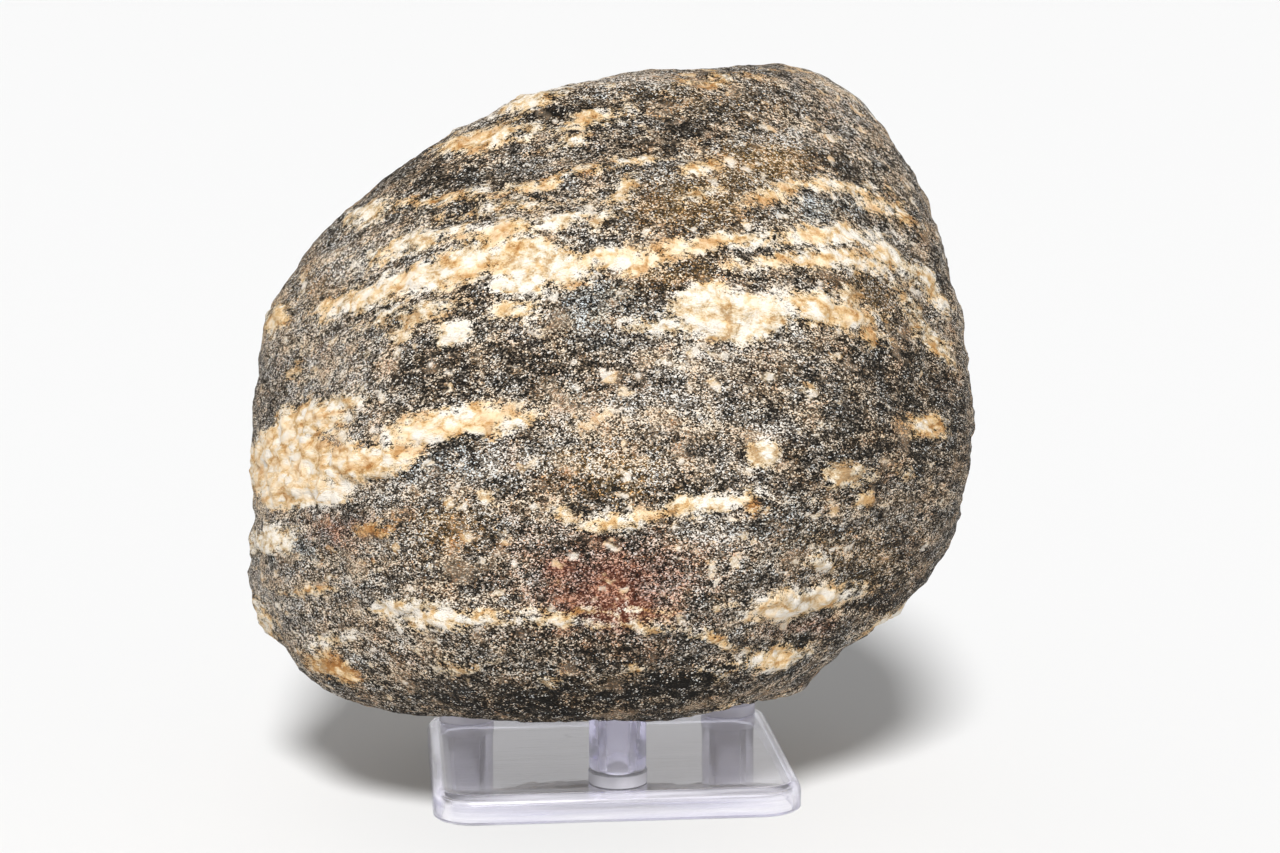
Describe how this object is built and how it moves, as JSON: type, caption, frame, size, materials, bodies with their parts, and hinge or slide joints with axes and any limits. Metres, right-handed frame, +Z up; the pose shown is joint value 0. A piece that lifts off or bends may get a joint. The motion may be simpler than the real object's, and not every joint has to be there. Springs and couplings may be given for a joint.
{
  "type": "gneiss specimen on a display stand",
  "caption": "Rounded, banded gneiss cobble resting on the tube pegs of a low clear moulded display stand.",
  "frame": {"origin": "middle of the whole object's box in plan, on the surface that the stand's rim rests on", "axes": "+Z up, -Y out of the stand's front with its single peg, towards a viewer of the cobble's broad face, +X to that viewer's right"},
  "size_m": [0.1608, 0.1242, 0.1642],
  "materials": {
    "gneiss": "water-worn, fine salt-and-pepper grain with cream, orange and brick-red bands",
    "clear_plastic": "clear, glossy, moulded, lightly scratched"
  },
  "bodies": {
    "root": {"gneiss_stone": "gneiss", "display_stand": "clear_plastic"}
  },
  "joints": []
}
